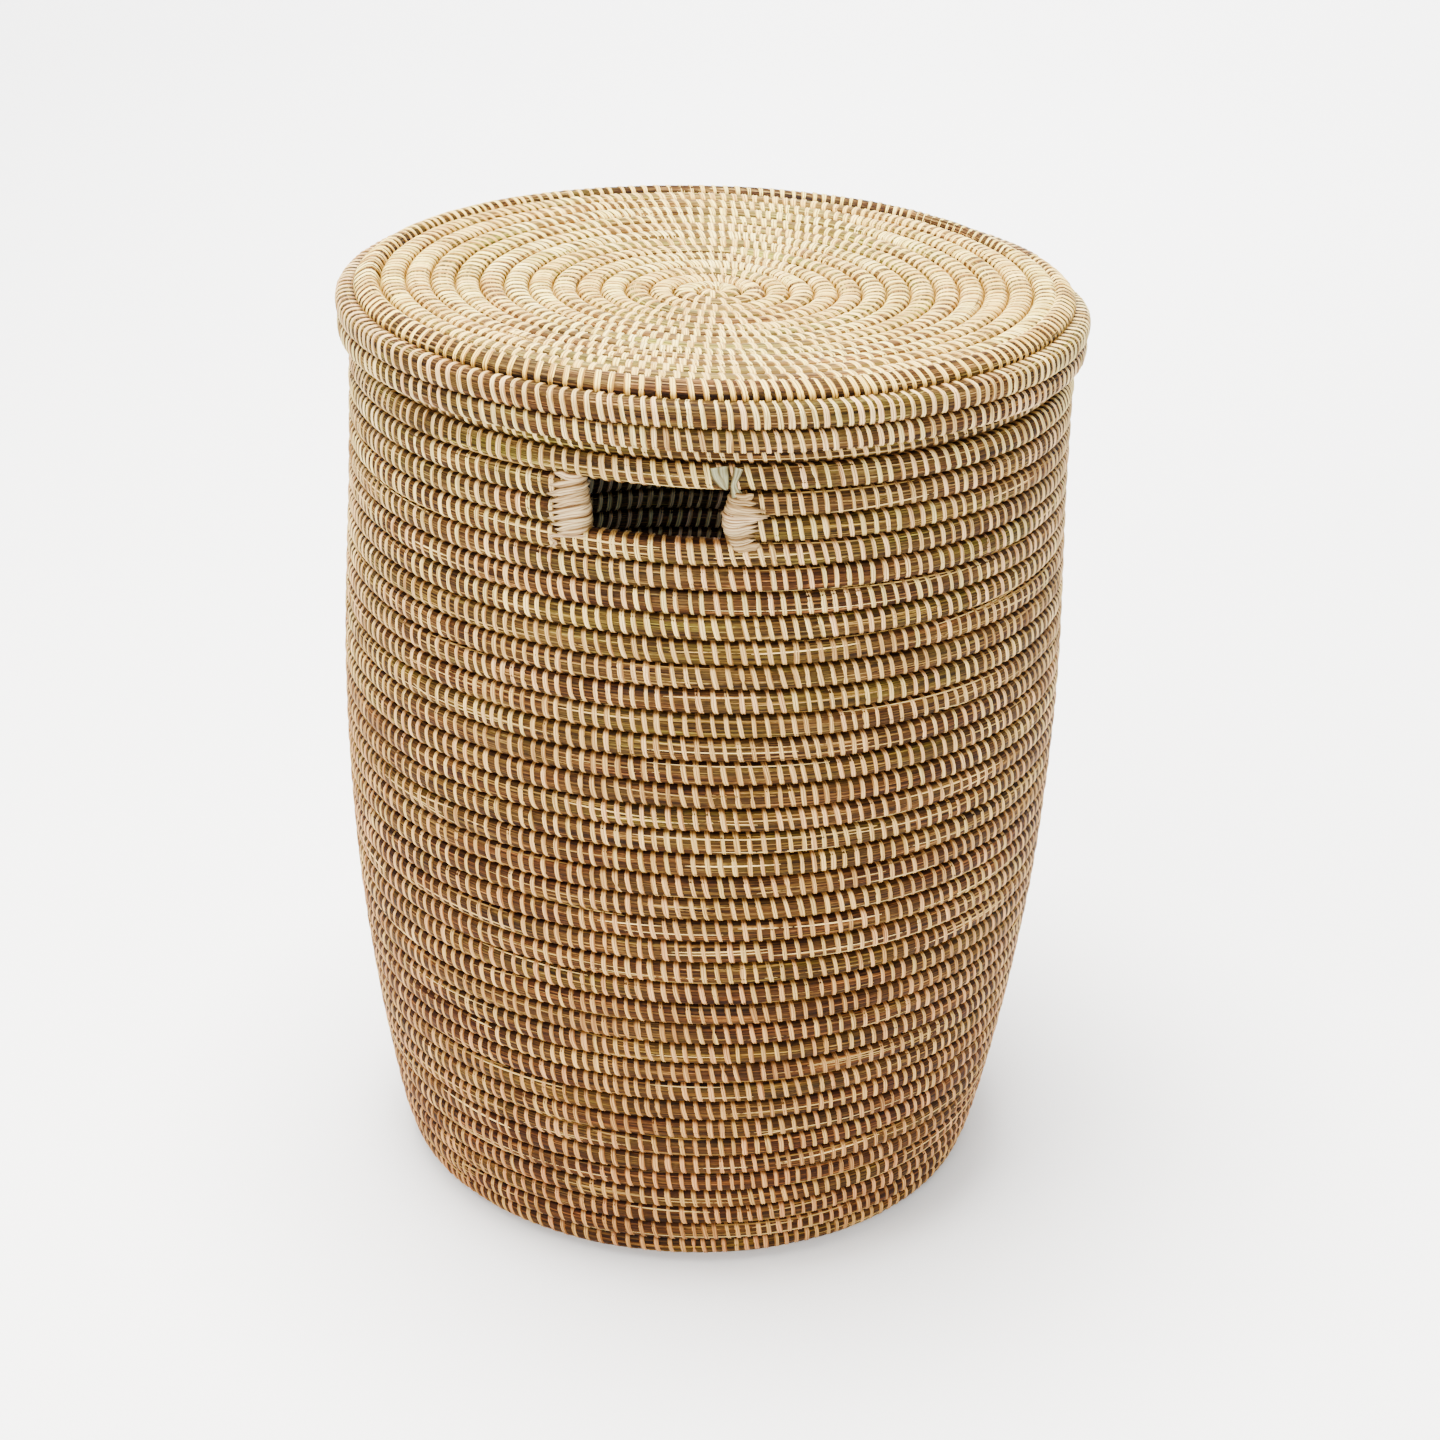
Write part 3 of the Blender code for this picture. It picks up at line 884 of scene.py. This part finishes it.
def face_strip(shape, hole, stops, lift, tone, rng):
    """A flat strip that lies on the wall's face, through stops of (a, h, width)."""
    stops = np.array(stops)
    gaps = np.linalg.norm(np.diff(stops[:, :2], axis=0), axis=1)
    places = np.concatenate([[0], np.cumsum(gaps)])
    steps = np.linspace(0, places[-1], max(int(places[-1] / FLAT_STEP), 8))
    a, h, width = (np.interp(steps, places, stops[:, i]) for i in range(3))
    for _ in range(2):
        a[1:-1] = (a[:-2] + 2 * a[1:-1] + a[2:]) / 4
        h[1:-1] = (h[:-2] + 2 * h[1:-1] + h[2:]) / 4
    n = np.array([coil_face(v) for v in h]) + lift
    normal = np.zeros((len(a), 3))
    normal[:, 1] = 1
    add_ribbon(shape, hole, np.stack([a, n, h], 1), normal, width, FLAT_PUFF, tone, rng)


def bind_edge(front, left, strips, extras=()):
    """All strips over one side of a hand hole, and loose ones that lie beside them."""
    rng = np.random.default_rng(40 + 2 * front + left)
    shape = Shape()
    hole = (front, left)
    for tip, tip_height, edge, edge_height, width, blunt in strips:
        jitter = 0.0 if front else rng.normal(0, BACK_SPREAD)
        wrap_strip(
            shape, hole, tip + jitter, tip_height, edge + jitter / 2, edge_height, width, blunt, rng
        )
    for lift, tone, stops in extras:
        face_strip(shape, hole, stops, lift, tone, rng)
    name = f"handle_binding_{'front' if front else 'back'}_{'left' if left else 'right'}"
    finish_piece(shape, f"{name}_strips", WOUND_STRIP, "basket", (name,))


# Strips over a hand hole's sides: where the tip is and its height, where the edge is and the
# strip's height there, the width, and whether the tip is blunt. A loose strip has its lift off the
# face, its tone and its stops.
FANNED = (
    (0.0162, 0.0172, 0.0026, 0.0164, 0.0044, False),
    (0.0190, 0.0098, 0.0023, 0.0134, 0.0044, False),
    (0.0204, 0.0044, 0.0016, 0.0098, 0.0046, False),
    (0.0190, 0.0006, 0.0011, 0.0060, 0.0042, False),
    (0.0182, -0.0022, 0.0004, 0.0026, 0.0036, False),
    (0.0206, -0.0060, -0.0002, -0.0008, 0.0042, False),
    (0.0196, -0.0096, -0.0009, -0.0044, 0.0042, False),
    (0.0176, -0.0126, -0.0012, -0.0078, 0.0042, False),
    (0.0152, -0.0152, -0.0014, -0.0110, 0.0040, False),
    (0.0140, -0.0174, -0.0010, -0.0142, 0.0038, False),
)
GATHERED = (
    (0.0144, 0.0126, 0.0042, 0.0124, 0.0044, True),
    (0.0172, 0.0090, 0.0030, 0.0094, 0.0044, False),
    (0.0214, 0.0044, 0.0022, 0.0060, 0.0044, False),
    (0.0234, 0.0012, 0.0012, 0.0028, 0.0042, False),
    (0.0222, 0.0002, 0.0002, -0.0006, 0.0046, False),
    (0.0170, -0.0018, 0.0002, -0.0040, 0.0042, False),
    (0.0178, -0.0042, 0.0006, -0.0070, 0.0036, False),
    (0.0182, -0.0068, 0.0014, -0.0097, 0.0034, False),
    (0.0172, -0.0096, 0.0022, -0.0122, 0.0036, False),
    (0.0164, -0.0122, 0.0030, -0.0148, 0.0038, False),
    (0.0186, -0.0158, 0.0042, -0.0176, 0.0050, True),
)
LOOSE_TAIL = (0.0012, 0.4, (
    (-0.0030, -0.0166, 0.0012), (0.0036, -0.0180, 0.0018), (0.0103, -0.0184, 0.0020),
    (0.0160, -0.0190, 0.0022), (0.0185, -0.0205, 0.0022), (0.0160, -0.0222, 0.0020),
    (0.0130, -0.0222, 0.0018), (0.0160, -0.0250, 0.0014), (0.0208, -0.0272, 0.0006),
))
FLAT_PAIR = (
    (0.0010, 1.0, (
        (-0.0040, 0.0286, 0.0106), (-0.0032, 0.0240, 0.0090), (-0.0014, 0.0198, 0.0060),
        (0.0004, 0.0160, 0.0022),
    )),
    (0.0014, 0.97, (
        (0.0062, 0.0284, 0.0056), (0.0050, 0.0245, 0.0040), (0.0038, 0.0205, 0.0030),
        (0.0042, 0.0170, 0.0042), (0.0062, 0.0124, 0.0066),
    )),
)
bind_edge(True, True, FANNED, (LOOSE_TAIL,))
bind_edge(True, False, GATHERED, FLAT_PAIR)
bind_edge(False, True, GATHERED)
bind_edge(False, False, FANNED, (LOOSE_TAIL,))


def dish(r):
    """Height of the lid's disc at a radius: it sinks towards its middle."""
    return edge_ring[1] - DISH_DEPTH * max(0.0, 1 - (r / DISH_RADIUS) ** 2)


def skirt_ring(word):
    r, z = ring_of(f"lid_skirt_coil_{word}")
    return r, z + SKIRT_RAISED[word]


# The lid: a dished spiral, its raised edge turn and two turns of skirt.
edge_ring = ring_of("lid_edge_coil")
disc_rings = spiral_rings(edge_ring[0], dish)
EDGE = len(disc_rings)
SKIRT_UPPER = EDGE + 1
SKIRT_LOWER = EDGE + 2
lid = Coil(
    disc_rings + [edge_ring, skirt_ring("upper"), skirt_ring("lower")], LID_HAND, EDGE,
    lambda k: 0.0, lambda k: LID_STRIP_WIDTH if k < EDGE else SKIRT_STRIP_WIDTH,
    {SKIRT_LOWER: SKIRT_SLIM},
)
for part, turns in (("_inner", range(INNER_TURNS)), ("_outer", range(INNER_TURNS, EDGE))):
    dress(lid, "lid_disc", "lid", whole(*turns), looks=(LID_GRASS, LID_STRIP), part=part)
dress(lid, "lid_edge_coil", "lid", whole(EDGE), looks=(GRASS, LID_STRIP))
dress(lid, "lid_skirt_coil_upper", "lid", whole(SKIRT_UPPER))
dress(lid, "lid_skirt_coil_lower", "lid", whole(SKIRT_LOWER), thins=True)


def add_light(name, at, aim, size, power, colour):
    data = bpy.data.lights.new(name, "AREA")
    data.shape = "DISK"
    data.size = size
    data.energy = power
    data.color = colour
    light = bpy.data.objects.new(name, data)
    light.visible_camera = False
    light.location = at
    light.rotation_euler = (Vector(aim) - Vector(at)).to_track_quat("-Z", "Y").to_euler()
    bpy.context.scene.collection.objects.link(light)


def add_studio():
    """Round pale floor that curves up into a wall, soft lights and a dim, even world."""
    bend = np.linspace(0, math.pi / 2, 13)
    curve = FLOOR_RADIUS + CURVE_RADIUS * np.sin(bend)
    radii = np.concatenate([[FLOOR_MIDDLE], curve, curve[-1:]])
    heights = np.concatenate([[0.0], CURVE_RADIUS * (1 - np.cos(bend)), [WALL_HEIGHT]])
    around = np.arange(STUDIO_SIDES) * math.tau / STUDIO_SIDES
    verts = place(around, radii[:, None], heights[:, None] + 0 * around)
    middle = list(range(STUDIO_SIDES - 1, -1, -1))
    faces = grid_faces(len(radii), STUDIO_SIDES).tolist() + [middle]
    mesh = bpy.data.meshes.new("studio_floor")
    mesh.from_pydata(verts.reshape(-1, 3).tolist(), [], faces)
    mesh.shade_smooth()
    material, _, shader = new_material("studio_white", 0.9)
    shader.inputs["Base Color"].default_value = STUDIO_WHITE
    mesh.materials.append(material)
    floor = bpy.data.objects.new("studio_floor", mesh)
    bpy.context.scene.collection.objects.link(floor)
    world = bpy.data.worlds.new("studio_world")
    world.use_nodes = True
    background = world.node_tree.nodes["Background"]
    background.inputs["Color"].default_value = WORLD_COLOUR
    background.inputs["Strength"].default_value = WORLD_STRENGTH
    bpy.context.scene.world = world
    for name, settings in LIGHTS.items():
        add_light(name, *settings)


def add_camera():
    data = bpy.data.cameras.new("front_view")
    data.lens = CAMERA_LENS
    data.sensor_width = 36.0
    camera = bpy.data.objects.new("front_view", data)
    turn = Matrix.Rotation(math.radians(CAMERA_AZIMUTH), 4, "Z")
    spot = Matrix.Translation((CAMERA_SIDE, -CAMERA_DISTANCE, CAMERA_HEIGHT))
    aim = (
        Matrix.Rotation(math.radians(CAMERA_YAW), 4, "Z")
        @ Matrix.Rotation(math.radians(90 - CAMERA_PITCH), 4, "X")
        @ Matrix.Rotation(math.radians(CAMERA_ROLL), 4, "Z")
    )
    camera.matrix_world = turn @ spot @ aim
    bpy.context.scene.collection.objects.link(camera)
    bpy.context.scene.camera = camera


add_studio()
add_camera()
